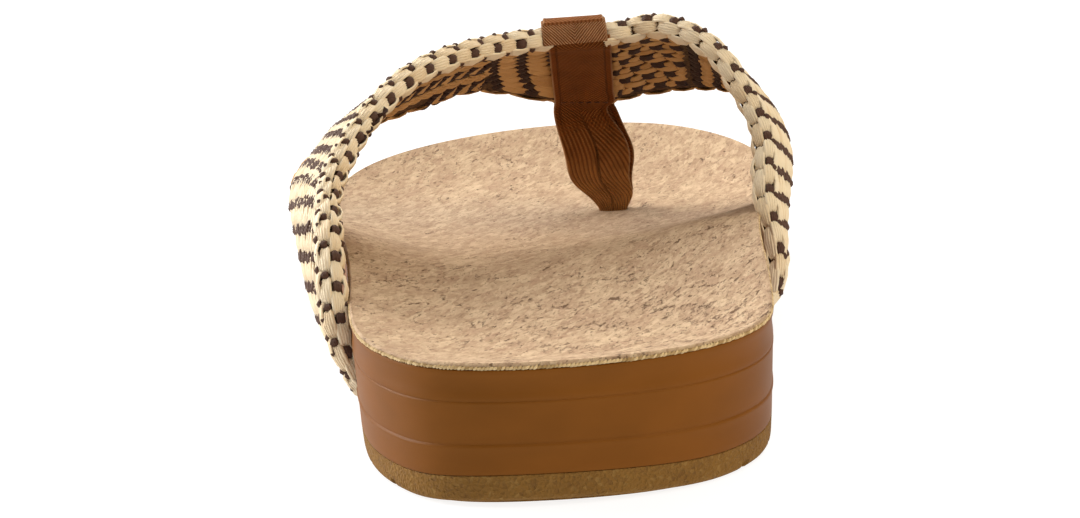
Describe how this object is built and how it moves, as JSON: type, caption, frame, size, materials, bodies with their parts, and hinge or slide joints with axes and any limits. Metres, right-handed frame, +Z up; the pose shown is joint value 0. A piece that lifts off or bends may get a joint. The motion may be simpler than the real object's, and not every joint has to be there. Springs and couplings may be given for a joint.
{
  "type": "thong sandal",
  "caption": "Left thong sandal: woven band and toe loop over a contoured cork footbed, grooved foam midsole and rubber tread.",
  "frame": {"origin": "on the floor, under the middle of the whole sandal", "axes": "+X to the inner (big-toe) side, +Y to the toes, +Z up"},
  "size_m": [0.1005, 0.2568, 0.0603],
  "materials": {
    "outsole": "rough khaki crumb rubber",
    "midsole": "smooth caramel moulded foam, satin",
    "footbed": "matte agglomerated cork",
    "strap": "cream and dark brown woven raffia yarn",
    "toe_post": "brown herringbone cotton tape"
  },
  "bodies": {
    "root": {"outsole": "outsole", "midsole": "midsole", "footbed": "footbed", "strap": "strap", "toe_post": "toe_post"}
  },
  "joints": []
}
